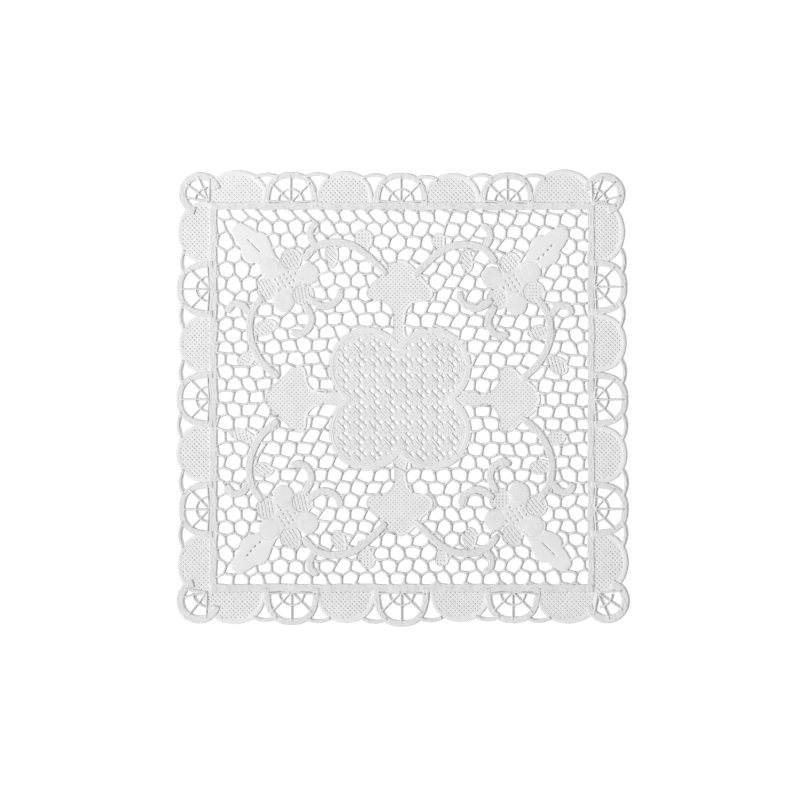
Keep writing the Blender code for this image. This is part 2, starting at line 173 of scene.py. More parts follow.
def pathDistance(x, y, path, halfWidth):
    nearest = np.full(np.shape(x), np.inf)
    for start, along in zip(path, np.diff(path, axis=0)):
        awayX, awayY = x - start[0], y - start[1]
        share = np.clip((awayX * along[0] + awayY * along[1]) / (along @ along), 0, 1)
        nearest = np.minimum(nearest, np.hypot(awayX - share * along[0], awayY - share * along[1]))
    return nearest - halfWidth


def outlineDistance(x, y, corners):
    inside = np.zeros(np.shape(x), dtype=bool)
    for start, end in zip(corners, np.roll(corners, -1, axis=0)):
        spans = (start[1] > y) != (end[1] > y)
        rise = end[1] - start[1]
        if rise:
            inside ^= spans & (x < start[0] + (y - start[1]) * (end[0] - start[0]) / rise)
    away = pathDistance(x, y, np.vstack([corners, corners[:1]]), 0)
    return np.where(inside, -away, away)


def softUnion(first, second, softness):
    blend = np.clip(0.5 + 0.5 * (second - first) / softness, 0, 1)
    return second * (1 - blend) + first * blend - softness * blend * (1 - blend)


def roundedRise(depth, width, least=0.0):
    # from least at an edge to 1 at this width inside it, as a quarter circle
    share = np.clip(depth / width, 0, 1)
    return least + (1 - least) * np.sqrt(1 - (1 - share) ** 2)


def lift(x, y):
    # the cloth was pressed, so it lies nearly flat, with a few low swells
    wave = doily["waveLength"]
    swell = np.sin(x / wave * 3.1 + 0.8) * np.sin(y / wave * 2.7 - 0.5) + 0.6 * np.sin((x - y) / wave * 4.3)
    share = 1 + doily["corner"] * np.clip((y - x) / 260, -1, 1)
    return doily["unevenness"] * (0.5 + 0.31 * swell) * share


# a work keeps points, faces and the thread measures until its piece is made

def newWork():
    return {"points": [], "faces": [], "materials": [], "across": [], "along": [], "count": 0}


def addToWork(work, points, faces, across, along):
    points = np.asarray(points, dtype=float)
    work["points"].append(points)
    work["faces"] += [tuple(corner + work["count"] for corner in face) for face in faces]
    work["materials"] += [0] * len(faces)
    work["across"].append(np.broadcast_to(across, len(points)))
    work["along"].append(np.broadcast_to(along, len(points)))
    work["count"] += len(points)


def joinRings(work, near, far, material=0):
    work["faces"] += zip(near, far, far[1:] + far[:1], near[1:] + near[:1])
    work["materials"] += [material] * len(near)


def closeRing(work, ring, material=0):
    work["faces"].append(tuple(reversed(ring)))
    work["materials"].append(material)


def makePiece(name, build, *slots):
    work = newWork()
    build(work)
    points = np.vstack(work["points"])
    points[:, 2] += lift(points[:, 0], points[:, 1])
    mesh = bpy.data.meshes.new(name)
    mesh.from_pydata((points * mm).tolist(), [], work["faces"])
    for key in ("across", "along"):
        measure = mesh.attributes.new(key, "FLOAT", "POINT")
        measure.data.foreach_set("value", (np.concatenate(work[key]) * mm).astype(np.float32))
    for slot in slots:
        mesh.materials.append(materials[slot])
    mesh.polygons.foreach_set("material_index", work["materials"])
    mesh.polygons.foreach_set("use_smooth", [True] * len(mesh.polygons))
    mesh.update()
    piece = bpy.data.objects.new(name, mesh)
    bpy.context.scene.collection.objects.link(piece)
    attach(piece, "root")
    print(name, "made with", sum(len(face) - 2 for face in work["faces"]), "triangles")
    return piece


def ridgedProfile(halfWidth, top, ridges, groove):
    # the section of a worked band: from its left edge over the ridges to its right edge, and back below
    marks = np.linspace(-0.72, 0.72, 2 * ridges - 1)
    crown = [(mark, top - groove * (index % 2)) for index, mark in enumerate(marks)]
    shoulder = [(-1, 0.45 * top), (-0.9, 0.84 * top)]
    section = shoulder + crown + [(-mark, height) for mark, height in shoulder[::-1]]
    section += [(0.82, doily["under"]), (-0.82, doily["under"])]
    return np.array(section) * (halfWidth, 1)


def roundProfile(radius, middle, sides=8):
    angles = np.radians(180 - 360 * np.arange(sides) / sides)
    return np.column_stack([radius * np.cos(angles), middle + radius * np.sin(angles)])


def sweep(work, path, profile, material=0, widths=None, heights=None):
    # carries a section along a path, and closes both ends
    path = np.asarray(path, dtype=float)
    run = np.gradient(path, axis=0)
    run /= np.linalg.norm(run, axis=1)[:, None]
    left = np.column_stack([-run[:, 1], run[:, 0]])
    even = np.ones(len(path))
    walked = np.concatenate([[0], np.cumsum(np.linalg.norm(np.diff(path, axis=0), axis=1))])
    across = np.outer(even if widths is None else widths, profile[:, 0])
    flat = path[:, None, :] + left[:, None, :] * across[:, :, None]
    height = np.outer(even if heights is None else heights, profile[:, 1])
    rings = (work["count"] + np.arange(across.size).reshape(across.shape)).tolist()
    addToWork(work, np.dstack([flat, height]).reshape(-1, 3), [], across.ravel(),
              np.repeat(walked, len(profile)))
    for near, far in zip(rings, rings[1:]):
        joinRings(work, near, far, material)
    closeRing(work, rings[0][::-1], material)
    closeRing(work, rings[-1], material)


def tapered(count, rows, least):
    # 1 along a band, falling to least over this many rows at each end
    index = np.arange(count)
    nearest = np.minimum(index, count - 1 - index)
    return least + (1 - least) * np.clip(nearest / rows, 0, 1)


def cellRing(kind):
    # round a cell: even numbers are its corners inside, odd ones the crossings on the edges between
    has = [bool(kind >> bit & 1) for bit in range(4)]
    ring = []
    for bit in range(4):
        if has[bit]:
            ring.append(2 * bit)
        if has[bit] != has[(bit + 1) % 4]:
            ring.append(2 * bit + 1)
    return ring


def clothFaces(names, code, total):
    # the upper faces, the same ones below, and a wall wherever two crossings follow each other
    faces = []
    for kind in range(1, 16):
        ring = cellRing(kind)
        top = np.column_stack([names[place][code == kind] for place in ring])
        faces += top.tolist()
        faces += (top[:, ::-1] + total).tolist()
        for index, place in enumerate(ring):
            following = (index + 1) % len(ring)
            if place % 2 and ring[following] % 2:
                start, end = top[:, index], top[:, following]
                faces += np.column_stack([start, start + total, end + total, end]).tolist()
    return faces


def addCloth(work, outline, holes, crown, low, high, cell, turn=0.0):
    # a thin cloth wherever outline is negative and holes is positive, on a turned grid of small cells;
    # low and high are opposite corners of the grid before it is turned, crown gives its thickness
    columns = int(math.ceil((high[0] - low[0]) / cell))
    rows = int(math.ceil((high[1] - low[1]) / cell))
    gridX, gridY = np.meshgrid(low[0] + np.arange(columns + 1) * cell,
                               low[1] + np.arange(rows + 1) * cell, indexing="ij")
    flat = turned(np.column_stack([gridX.ravel(), gridY.ravel()]), turn)
    level = np.maximum(outline(flat[:, 0], flat[:, 1]), -holes(flat[:, 0], flat[:, 1])).reshape(gridX.shape)
    level = np.where(np.abs(level) < 0.02 * cell, 0.02 * cell, level)
    flat = flat.reshape(columns + 1, rows + 1, 2)
    inside = level < 0
    used = []
    count = 0

    def number(mask, points):
        nonlocal count
        names = np.full(mask.shape, -1)
        names[mask] = count + np.arange(mask.sum())
        count += int(mask.sum())
        used.append(points)
        return names

    corner = number(inside, flat[inside])
    crossings = []
    for first, second, start, end in (
            (inside[:-1], inside[1:], (level[:-1], flat[:-1]), (level[1:], flat[1:])),
            (inside[:, :-1], inside[:, 1:], (level[:, :-1], flat[:, :-1]), (level[:, 1:], flat[:, 1:]))):
        crossed = first != second
        share = np.clip(start[0][crossed] / (start[0][crossed] - end[0][crossed]), 0.08, 0.92)[:, None]
        crossings.append(number(crossed, start[1][crossed] * (1 - share) + end[1][crossed] * share))
    across, upward = crossings
    names = [corner[:-1, :-1], across[:, :-1], corner[1:, :-1], upward[1:],
             corner[1:, 1:], across[:, 1:], corner[:-1, 1:], upward[:-1]]
    code = inside[:-1, :-1] * 1 + inside[1:, :-1] * 2 + inside[1:, 1:] * 4 + inside[:-1, 1:] * 8
    points = np.vstack(used)
    x, y = points[:, 0], points[:, 1]
    fromEdge = -outline(x, y)
    upper = doily["under"] + crown(x, y, fromEdge, holes(x, y))
    lower = 0.16 - 0.12 * roundedRise(fromEdge, 0.8)
    both = np.vstack([np.column_stack([x, y, upper]), np.column_stack([x, y, lower])])
    addToWork(work, both, clothFaces(names, code, count), np.tile(fromEdge, 2), 0.0)


def addPatch(work, outline, holes, crown, heart, reach, cell, turn):
    # cloth on a grid with a point at its heart
    origin = turned([heart], -turn)[0]
    reach = math.floor(reach / cell) * cell
    addCloth(work, outline, holes, crown, origin - reach, origin + reach, cell, turn)


def latticeHoles(outline, pitch, radius, margin, turn=45.0, origin=(0.0, 0.0), stretch=0.0):
    # small holes on a turned lattice, longer along its first direction, and none near the outline
    def holes(x, y):
        grid = turned(np.column_stack([x - origin[0], y - origin[1]]), -turn)
        heart = np.round(grid / pitch)
        offset = grid - heart * pitch
        back = turned(heart * pitch, turn) + np.asarray(origin)
        size = radius * (1 + 0.14 * jitter(heart[:, 0], heart[:, 1], 3.1))
        length = stretch * (1 + 0.5 * jitter(heart[:, 0], heart[:, 1], 8.7))
        away = np.hypot(np.maximum(np.abs(offset[:, 0]) - length, 0), offset[:, 1]) - size
        return np.where(outline(back[:, 0], back[:, 1]) < -margin, away, 1.0)
    return holes


def slitHoles(outline, pitch, halfWidth, margin, turn, origin=(0.0, 0.0)):
    # slits side by side, each crossed by a few threads on its way from one plain edge to the other
    def holes(x, y):
        grid = turned(np.column_stack([x - origin[0], y - origin[1]]), -turn)
        row = np.round(grid[:, 1] / pitch)
        offset = np.abs(grid[:, 1] - row * pitch)
        step = 1.9 * pitch
        shifted = grid[:, 0] + 0.5 * step * jitter(row, 0 * row, 5.3)
        bridge = np.abs(shifted - np.round(shifted / step) * step)
        width = halfWidth * (0.9 + 0.2 * jitter(row, np.round(shifted / step), 1.9))
        return np.maximum(np.maximum(offset - width, outline(x, y) + margin), 0.3 - bridge)
    return holes


medallion = {
    "lobeAt": 21.4,
    "lobe": 26.5,
    "core": 36.4,               # fills the notches between its lobes
    "softness": 1.0,
    "border": 4.3,              # plain cloth along its edge
    "repeat": 10.4,             # of the four-eyed clusters
    "eyeAt": 2.95,              # an eye's distance from the middle of its cluster
    "eye": (1.3, 0.88),         # half its length and width
    "eyeTurn": -45.0,
    "pinhole": 0.38,
    "dots": ((0, 0), (1.5, 1.5), (-1.5, 1.5), (1.5, -1.5), (-1.5, -1.5), (5.2, 5.2)),
    "reach": 50.5,              # from its middle to the edge of its grid
    "stitch": (3.9, 0.36),      # half the length and width of the raised thread beside two eyes
    "stitchRise": 0.2,
    "stitchAt": (0.65, -3.5),   # from the middle of a cluster, up to the right
    "ridge": 1.5,               # between the rows of stitches along the edge
    "rise": 0.26,
    "top": 0.36,
    "cell": 0.52,
}

tulip = {
    "half": (                   # down from the tip, aside
        (0.0, 0.0), (0.6, 3.2), (3.0, 7.4), (6.2, 10.6), (9.2, 13.0), (12.6, 15.6), (16.6, 19.8),
        (20.6, 22.4), (24.6, 22.2), (27.6, 19.0), (28.2, 14.6), (29.2, 10.2), (32.6, 6.2), (38.0, 4.5),
    ),
    # turn of the axis, tip from the middle, shift of the stem
    "places": ((0, 94.0, 0.1), (90, 92.9, 0.6), (180, 90.0, -0.2), (270, 91.6, 0.3)),
    "stem": (48.5, 4.3),        # its foot from the middle, and half its width there
    "foot": ((45.5, 4.4), (43.0, 5.0), (41.2, 6.2), (38.6, 5.4), (36.4, 2.6)),  # from the middle, aside
    "pitch": 2.12,
    "pinhole": 0.341,
    "stretch": 0.08,
    "rim": 1.4,
    "rise": 0.5,
    "ridge": 1.4,
    "top": 0.28,
    "cell": 0.53,
}

flower = {
    # direction in the outward frame, distance, radius, and whether the petal is worked open
    "petals": (
        (31, 13.6, 7.4, False), (100, 13.2, 7.5, True), (167, 14.6, 7.3, False),
        (226, 15.0, 7.6, True), (279, 15.2, 7.3, False), (335, 15.2, 7.6, True),
    ),
    "disc": 9.4,
    "softness": 1.2,
    "rim": 1.0,                 # plain cloth round an open petal
    "pitch": 2.24,              # of the slits or dots
    "slit": 0.14,
    "dot": 0.38,
    "dotStretch": 0.16,
    "eyeShare": 1.6,            # how much wider the dots are where they are worked as eyes
    "eyePitch": 3.4,
    "eye": 0.27,
    "eyeStretch": 0.5,
    "slant": -58.0,
    "top": 0.9,
    "openTop": 0.32,
    "cell": 0.5,
    "reach": 24.25,             # from its middle to the edge of its grid
    "openReach": 8.0,
}

leaf = {
    "half": (                   # outward from the flower's middle, aside
        (50.2, 0.0), (49.5, 3.6), (45.6, 5.8), (40.4, 7.2), (36.6, 7.7), (34.4, 10.0), (30.4, 11.0),
        (25.4, 9.6), (20.4, 7.2), (15.0, 5.4), (11.0, 5.0),
    ),
    "slits": ((37.2, 34.8), (33.2, 25.6)),
    "slitHalf": 0.26,
    "overlap": 0.6,             # how far it reaches under the flower's edge
    "eyes": ((23.6, -1.1), (27.8, -1.5), (32.0, -1.3), (35.6, -1.0)),
    "eye": (0.95, 0.5),
    "top": 1.0,
    "cell": 0.55,
}

scroll = {
    "half": 2.5,
    "top": 1.2,
    "groove": 0.2,
    "step": 1.0,
    "flowerAt": (75.7, 78.9),   # where the flower is for these paths
    "flowerShare": 0.6,         # of a flower's own shift from there, which its scrolls follow
    # points of one quadrant, outward from the medallion's middle along x and y
    "paths": {
        "stemAbove": ((64.6, 91.6), (56.6, 100.4), (46.0, 103.6), (34.0, 102.2), (24.0, 96.4), (13.6, 86.6),
                      (9.2, 82.2)),
        "stemBeside": ((92.0, 68.0), (98.6, 57.6), (100.6, 46.7), (98.8, 36.0), (92.4, 24.0), (81.0, 13.4)),
        "curlAbove": ((56.4, 101.2), (60.0, 107.3), (59.2, 113.4), (54.4, 116.8)),
        "curlBeside": ((100.4, 55.0), (105.0, 61.6), (111.6, 62.6), (115.4, 57.0)),
        "tendrilAbove": ((62.0, 67.0), (52.6, 61.2), (44.8, 62.8), (40.6, 67.4), (40.2, 72.4)),
        "tendrilBeside": ((64.0, 63.0), (59.2, 53.2), (61.6, 46.0), (67.0, 42.8), (73.2, 44.2)),
    },
}

bud = {
    "half": (                   # share of the way from foot to widest, or widest to tip, and of the width
        ((-0.12, 0.44), (0.3, 0.66), (0.66, 0.9)), ((0.0, 1.0), (0.46, 0.88), (0.8, 0.56), (1.0, 0.0)),
    ),
    "pitch": 2.2,               # of the slits or dots
    "slit": 0.26,
    "dot": 0.34,
    "dotStretch": 0.3,
    "rim": 1.2,
    "rise": 0.42,               # of the rim above the thinner cloth
    "ridge": 1.2,
    "top": 0.3,
    "reach": 11.0,              # from its middle to the edge of its grid
}


def quadrantPlace(quadrant, points):
    # from the outward frame about the medallion to the doily's own, moved as this flower is
    sign = quadrant["outward"]
    shift = (quadrant["flower"] - doily["middle"] - sign * scroll["flowerAt"]) * scroll["flowerShare"]
    return doily["middle"] + shift + sign * points


def medallionDistance(x, y):
    reach = medallion["lobeAt"]
    middle = doily["middle"]
    shape = discDistance(x, y, middle, medallion["core"])
    for corner in ((1, 1), (-1, 1), (-1, -1), (1, -1)):
        lobe = discDistance(x, y, middle + np.array(corner) * reach, medallion["lobe"])
        shape = softUnion(shape, lobe, medallion["softness"])
    return shape


def tulipOutline(turn, tip, shift):
    half = np.array([(tip - down, aside) for down, aside in tulip["half"]])
    side = np.vstack([half, [tulip["stem"]], tulip["foot"]])
    loop = np.vstack([side, side[:0:-1] * (1, -1)])
    loop[:, 1] += shift * np.clip((tip - 26.0 - loop[:, 0]) / 10.0, 0, 1)
    return turned(loop, turn) + doily["middle"]


def petalDiscs(quadrant):
    return [(quadrant["flower"] + quadrant["outward"] * away * aimAt(direction), radius, worked)
            for direction, away, radius, worked in flower["petals"]]


def flowerDistance(x, y, quadrant):
    shape = discDistance(x, y, quadrant["flower"], flower["disc"])
    for place, radius, _ in quadrant["discs"]:
        shape = softUnion(shape, discDistance(x, y, place, radius), flower["softness"])
    return shape


def leafOutline(quadrant):
    half = np.array(leaf["half"])
    loop = smoothPath(np.vstack([half, half[:0:-1] * (1, -1)]), 1.2, closed=True)
    flat = loop @ np.array([[1.0, 1.0], [-1.0, 1.0]]) / math.sqrt(2)
    return quadrant["flower"] + quadrant["outward"] * flat


def budOutline(foot, tip, half, widest):
    foot, tip = np.array(foot), np.array(tip)
    lower, upper = bud["half"]
    side = [(share * widest, width) for share, width in lower]
    side += [(widest + share * (1 - widest), width) for share, width in upper]
    loop = np.array(side + [(share, -width) for share, width in side[-2::-1]])
    run = tip - foot
    left = np.array([-run[1], run[0]]) / np.linalg.norm(run) * half
    return smoothPath(foot + loop[:, :1] * run + loop[:, 1:] * left, 1.1, closed=True)


for quadrant in quadrants:
    quadrant["discs"] = petalDiscs(quadrant)
tulipLoops = [smoothPath(tulipOutline(*place), 1.3, closed=True) for place in tulip["places"]]
leafLoops = [leafOutline(quadrant) for quadrant in quadrants]
scrollPaths = [quadrantPlace(quadrant, smoothPath(path, scroll["step"]))
               for quadrant in quadrants for path in scroll["paths"].values()]
buds = [each for quadrant in quadrants for each in quadrant["buds"]]
budLoops = [budOutline(*each[:4]) for each in buds]


def motifDistance(x, y):
    # from a point to the nearest motif or to the frame band, negative inside one
    top, left, bottom, right = [side["band"][0] for side in sides]
    distances = [x + left, right - x, y + bottom, top - y, medallionDistance(x, y)]
    distances += [outlineDistance(x, y, loop) for loop in tulipLoops + leafLoops + budLoops]
    distances += [flowerDistance(x, y, quadrant) for quadrant in quadrants]
    distances += [pathDistance(x, y, path[::2], scroll["half"]) for path in scrollPaths]
    return np.min(distances, axis=0)


net = {
    "pitch": 10.4,
    "row": 8.78,
    "zigzag": (0.575, 0.65),    # a knot's height in its cell, as a share of the row: middle, top and foot
    "bar": 0.8,                 # half the width of a bar
    "flare": 0.3,               # how much wider a bar is where it leaves a knot
    "flareReach": 0.8,
    "fillet": 1.25,
    "height": 0.45,             # half the height of a bar
    "under": 0.04,
    "knotReach": 1.25,          # from a knot to the first section of its bars
    "knotSlope": (0.68, 0.8),   # of the points between a knot's crown and its sides
    "section": (                # of a bar, as shares of half its width and height
        (0, 1), (0.7, 0.8), (1, 0), (0.7, -0.8), (0, -1), (-0.7, -0.8), (-1, 0), (-0.7, 0.8),
    ),
    "sunk": 0.7,                # of its height where a bar's end is in a motif
    "keep": 0.8,                # how far under a motif's edge a knot is still made
    "uneven": 0.075,            # of the pitch
    "columns": range(-14, 15),
    "rows": range(-17, 18),
    "origin": (1.3, 1.7),
    "lean": {"topRight": 0.10, "bottomLeft": 0.10, "topLeft": -0.02, "bottomRight": 0.0},
    "leanEdge": (112.0, 12.0),  # how far from the middle the lean ends, and over what width
    "topLean": (4.4, 121.5, 5.0),   # how far, from where and over what height the top bars lean
    "fan": (-0.008, -0.000134, 129.0),  # how the rows fan out a little from the left
    "dip": (4.8, 66.0, 38.0),   # how far, where and over what height the rows sink on the left
    "grip": 1.0,                # how far a bar reaches into a motif's edge
}


def leanAt(x, y):
    total = 0.0
    for quadrant in quadrants:
        shareX, shareY = np.clip(0.5 + 0.5 * quadrant["outward"] * (x, y) / net["pitch"], 0, 1)
        total += net["lean"][quadrant["name"]] * shareX * shareY
    edge, width = net["leanEdge"]
    return total * np.clip((edge - abs(x)) / width, 0, 1) * np.clip((y + edge) / width, 0, 1)


def knotPlace(column, row, up):
    x = net["origin"][0] + (column + 0.5 * ((row + 1) % 2)) * net["pitch"]
    flat, high = net["zigzag"]
    zigzag = flat + (high - flat) * min(abs(row * net["row"]) / 100, 1)
    y = net["origin"][1] + row * net["row"] + up * net["row"] * zigzag
    depth, where, spread = net["dip"]
    y -= depth * math.exp(-((y - where) / spread) ** 2) * np.clip((-x - 60) / 45, 0, 1)
    level, slope, origin = net["fan"]
    y += (level + slope * y) * (x + origin)
    wobble = net["uneven"] * net["pitch"]
    wave = math.sin(1.7 * column + 2.3 * row + 0.9 * up) + 0.6 * math.sin(0.31 * row * row + column)
    shiftX = wobble * (wave + 0.45 * jitter(column, row, up))
    shiftY = wobble * (math.sin(2.9 * column - 1.3 * row + 1.9 * up) + 0.45 * jitter(row, column, up + 0.4))
    far, start, width = net["topLean"]
    shiftX -= far * np.clip((y - start) / width, 0, 1)
    return np.array([x + shiftX - up * leanAt(x, y) * net["pitch"], y + shiftY])


def netKnots():
    return {(column, row, up): knotPlace(column, row, up)
            for row in net["rows"] for column in net["columns"] for up in (1, -1)}


def knotNeighbours(column, row, up):
    # the far ends of a knot's three bars, in turn counterclockwise
    right = column + (row + 1) % 2
    if up == 1:
        return ((column, row + 2, -1), (right - 1, row + 1, -1), (right, row + 1, -1))
    return ((column, row - 2, 1), (right, row - 1, 1), (right - 1, row - 1, 1))


def addKnot(work, place, ends):
    # eleven points shared by the three bars; returns the eight-sided ring of each bar
    runs = [(end - place) / np.linalg.norm(end - place) for end in ends]
    middle = net["height"] + net["under"]
    points = [(*place, middle + net["height"]), (*place, middle - net["height"])]
    for index, run in enumerate(runs):
        following = runs[(index + 1) % 3]
        angle = math.atan2(run[0] * following[1] - run[1] * following[0], run @ following) % (2 * math.pi)
        split = run + following
        split = split / np.linalg.norm(split) * (1 if angle < math.pi else -1)
        out = split * net["bar"] / max(math.sin(angle / 2), 0.5) * net["fillet"]
        inner = place + net["knotSlope"][0] * out
        rise = net["knotSlope"][1] * net["height"]
        points += [(*(place + out), middle), (*inner, middle + rise), (*inner, middle - rise)]
    start = work["count"]
    addToWork(work, points, [], 0.0, 0.0)
    rings = []
    for index in range(3):
        left, right = start + 2 + 3 * index, start + 2 + 3 * ((index - 1) % 3)
        rings.append([start, left + 1, left, left + 2, start + 1, right + 2, right, right + 1])
    return rings


def barRing(work, place, left, width, height, along):
    sideways, upward = np.array(net["section"]).T * [[width], [net["height"] * height]]
    start = work["count"]
    flat = place + np.outer(sideways, left)
    points = np.column_stack([flat, net["height"] + net["under"] + upward])
    addToWork(work, points, [], sideways, along)
    return list(range(start, start + 8))


def addBar(work, start, run, stops, first, last):
    # one bar through the stops; first and last are the rings of the knots there, or None for an end
    left = np.array([-run[1], run[0]])
    previous = first
    for index, stop in enumerate(stops):
        fromKnot = stop if first else 3.0
        if last:
            fromKnot = min(fromKnot, stops[-1] + net["knotReach"] - stop)
        width = net["bar"] + net["flare"] * math.exp(-fromKnot / net["flareReach"])
        sunk = (index == 0 and not first) or (index == len(stops) - 1 and not last)
        ring = barRing(work, start + run * stop, left, width, net["sunk"] if sunk else 1.0, stop)
        if previous:
            joinRings(work, previous, ring)
        else:
            closeRing(work, ring[::-1])
        previous = ring
    if last:
        joinRings(work, previous, [last[0]] + last[:0:-1])
    else:
        closeRing(work, previous)


def addNet(work):
    places = netKnots()
    names = list(places)
    spots = np.array([places[name] for name in names])
    depth = dict(zip(names, motifDistance(spots[:, 0], spots[:, 1])))
    rings = {}
    for name in names:
        neighbours = knotNeighbours(*name)
        if depth[name] > -net["keep"] and all(other in places for other in neighbours):
            made = addKnot(work, places[name], [places[other] for other in neighbours])
            for other, ring in zip(neighbours, made):
                rings[name, other] = ring
    bars = []
    for near in names:
        for far in knotNeighbours(*near):
            kept, other = (near, far) in rings, (far, near) in rings
            if far in places and (kept and not other or kept == other and near < far):
                bars.append((near, far))
    shares = np.linspace(0, 1, 33)
    knotReach = net["knotReach"]
    starts = np.array([places[near] for near, _ in bars])
    ends = np.array([places[far] for _, far in bars])
    samples = starts[:, None] + (ends - starts)[:, None] * shares[None, :, None]
    levels = motifDistance(samples[:, :, 0], samples[:, :, 1])
    for (near, far), start, end, level in zip(bars, starts, ends, levels):
        length = np.linalg.norm(end - start)
        run = (end - start) / length
        first, last = rings.get((near, far)), rings.get((far, near))
        if first and last:
            addBar(work, start, run, [knotReach, length / 2, length - knotReach], first, last)
        elif first:
            deep = level < -net["grip"]
            reach = (shares[np.argmax(deep)] if deep.any() else 1.0) * length
            if reach < 0.6:
                closeRing(work, first)
            else:
                addBar(work, start, run, [min(knotReach, 0.5 * reach), reach], first, None)
        elif level.max() > 0.4:
            middle = int(np.argmax(level))
            deep = np.flatnonzero(level < -net["grip"])
            before, after = deep[deep < middle], deep[deep > middle]
            low = shares[before[-1]] * length if len(before) else 0.0
            high = shares[after[0]] * length if len(after) else length
            addBar(work, start, run, [low, (low + high) / 2, high], None, None)


border = {
    "worked": (True, False, True, False, True, False, True),    # scallop of cloth or half wheel
    "scallopShare": 0.538,      # half an arch's width, of the distance between arches
    "wheelShare": 0.503,
    "endHalf": 21.2,            # half the width of the last scallop at each end
    "shoulders": 2.6,
    "wheelRing": 4.2,
    "ringWiden": 0.16,          # how much wider it is at its feet
    "ringRidges": 3,
    "ringGroove": 0.16,
    "arcHalf": 8.3,
    "arcReach": 8.4,            # of the small arc inside a wheel, from its hub
    "cord": 0.66,
    "cornerCord": 0.72,
    "spokes": (3, 44, 90, 136, 177),
    "smallArcHalf": 1.2,
    "smallArcTop": 1.15,
    "smallArc": ((8.4, -2.3), (4.62, -0.7), (0.0, 0.0), (-4.62, -0.7), (-8.4, -2.3)),
    "cornerRing": 5.3,
    "cornerArc": 9.6,
    "bandSteps": 160,
    "bandRidges": 4,
    "bandGroove": 0.26,
    # waves of a band: how high, how fast along its steps, and how much they differ between the bands
    "bandAside": ((0.2, 0.47, 1), (0.16, 0.19, 2), (0.1, 1.31, 1)),
    "bandWidths": ((0.045, 0.61, 0), (0.035, 0.23, 1)),
    "bandHeights": ((0.1, 0.9, 1), (0.06, 2.1, 0)),
    "top": 1.05,
}


def sideBase(side):
    return (side["band"][0] + side["band"][1]) / 2


def addFrame(work):
    # the top and bottom bands run to the right, the left and right ones upward
    top, left, bottom, right = [sideBase(side) for side in sides]
    topEnd, leftEnd, bottomEnd, rightEnd = [side["band"][1] - 0.4 for side in sides]
    runs = (
        (sides[0], (-leftEnd, top), (rightEnd, top)),
        (sides[2], (-leftEnd, -bottom), (rightEnd, -bottom)),
        (sides[1], (-left, -bottomEnd), (-left, topEnd)),
        (sides[3], (right, -bottomEnd), (right, topEnd)),
    )
    count = border["bandSteps"]
    steps = np.arange(count)
    for index, (side, start, end) in enumerate(runs):
        aside, widths, heights = [
            sum(height * np.sin(steps * speed + share * index) for height, speed, share in border[waves])
            for waves in ("bandAside", "bandWidths", "bandHeights")]
        path = np.linspace(start, end, count)
        path[:, index // 2 ^ 1] += aside * tapered(count, 8, 0)
        width = side["band"][1] - side["band"][0]
        profile = ridgedProfile(width / 2, border["top"] - 0.03 * (index // 2), border["bandRidges"],
                                border["bandGroove"])
        sweep(work, path, profile, 1, 1 + widths, 1 + heights)


def archSizes(side):
    # each arch of a side: its middle, half its width, its reach, and whether it is a scallop of cloth
    arches = side["arches"]
    pitch = (arches[-1][0] - arches[0][0]) / 6
    shares = {True: border["scallopShare"], False: border["wheelShare"]}
    return [(middle, border["endHalf"] if index in (0, 6) else pitch * shares[worked], reach, worked)
            for index, ((middle, reach), worked) in enumerate(zip(arches, border["worked"]))]


def addSide(work, side):
    base = sideBase(side)
    sizes = archSizes(side)
    place = partial(turned, degrees=side["turn"])
    ring = border["wheelRing"] / 2
    section = ridgedProfile(ring, border["top"], border["ringRidges"], border["ringGroove"])
    for middle, half, reach, worked in sizes:
        if worked:
            continue
        path = arcPath((middle, base), half - ring, reach - base - ring, 0, 180, 1.4,
                       border["shoulders"], 361)
        widths = 1 + border["ringWiden"] * np.linspace(-1, 1, len(path)) ** 4
        sweep(work, place(path), section, 1, widths)
        addSpokes(work, place, (middle, side["band"][1] + 0.4), half - ring, reach - ring)
    profile = ridgedProfile(border["smallArcHalf"], border["smallArcTop"], 2, 0.12)
    for first, second, top in zip(sizes, sizes[1:], side["arcs"]):
        middle = (first[0] + first[1] + second[0] - second[1]) / 2
        heart = (middle, top - border["smallArcHalf"])
        sweep(work, place(smoothPath(heart + np.array(border["smallArc"]), 1.1)), profile, 1)


def addSpokes(work, place, hub, ringHalf, ringReach):
    cord = roundProfile(border["cord"], border["cord"])
    sweep(work, place(arcPath(hub, border["arcHalf"], border["arcReach"], 0, 180, 1.2)), cord)
    power = border["shoulders"]
    for angle in border["spokes"]:
        aim = aimAt(angle)
        size = (np.abs(aim / (ringHalf, ringReach - hub[1])) ** power).sum() ** (-1 / power)
        sweep(work, place(np.linspace((hub[0], hub[1] - 0.4), hub + size * aim, 12)), cord)


def addCorner(work, corner):
    sign, hub, wheel, radius = corner["outward"], corner["hub"], corner["wheel"], corner["radius"]
    ring = border["cornerRing"] / 2
    order = 1 if sign[0] * sign[1] > 0 else -1
    section = ridgedProfile(ring, border["top"], border["ringRidges"], border["ringGroove"])
    path = arcPath(wheel, radius - ring, radius - ring, -75, 165, 1.4)
    sweep(work, (path * sign)[::order], section, 1)
    cord = roundProfile(border["cornerCord"], border["cornerCord"])
    offset = hub - wheel
    paths = [arcPath(hub, border["cornerArc"], border["cornerArc"], 6, 84, 1.2)]
    for aim in map(aimAt, corner["spokes"]):
        reach = -(offset @ aim) + math.sqrt((offset @ aim) ** 2 - offset @ offset + (radius - ring) ** 2)
        paths.append(np.linspace(hub, hub + aim * reach, 12))
    for path in paths:
        sweep(work, (path * sign)[::order], cord)


